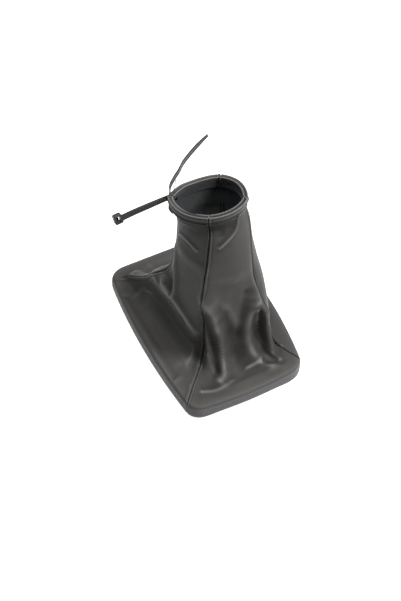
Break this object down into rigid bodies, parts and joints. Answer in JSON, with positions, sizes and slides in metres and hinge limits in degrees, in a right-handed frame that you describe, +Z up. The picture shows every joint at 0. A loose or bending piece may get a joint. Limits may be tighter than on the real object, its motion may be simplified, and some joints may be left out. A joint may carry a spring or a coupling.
{
  "type": "gear lever gaiter",
  "caption": "Black leather gear lever gaiter, sewn from panels, wrapped on a moulded frame, with an open cable tie in the hem of its collar.",
  "frame": {"origin": "on the surface that the frame stands on, under the middle of the part's own box", "axes": "+Z up along the sleeve, +Y along the frame's long sides towards the rear short side, -X towards the side where the cable tie comes out"},
  "size_m": [0.1296, 0.167, 0.1707],
  "materials": {
    "leather": "fine grained black leather with a low sheen",
    "frame_plastic": "moulded black plastic, hidden under the leather",
    "tie_nylon": "black nylon with a soft shine"
  },
  "bodies": {
    "root": {"frame": "frame_plastic", "left_panel": "leather", "front_panel": "leather", "right_panel": "leather", "rear_panel": "leather", "cable_tie": "tie_nylon"}
  },
  "joints": []
}
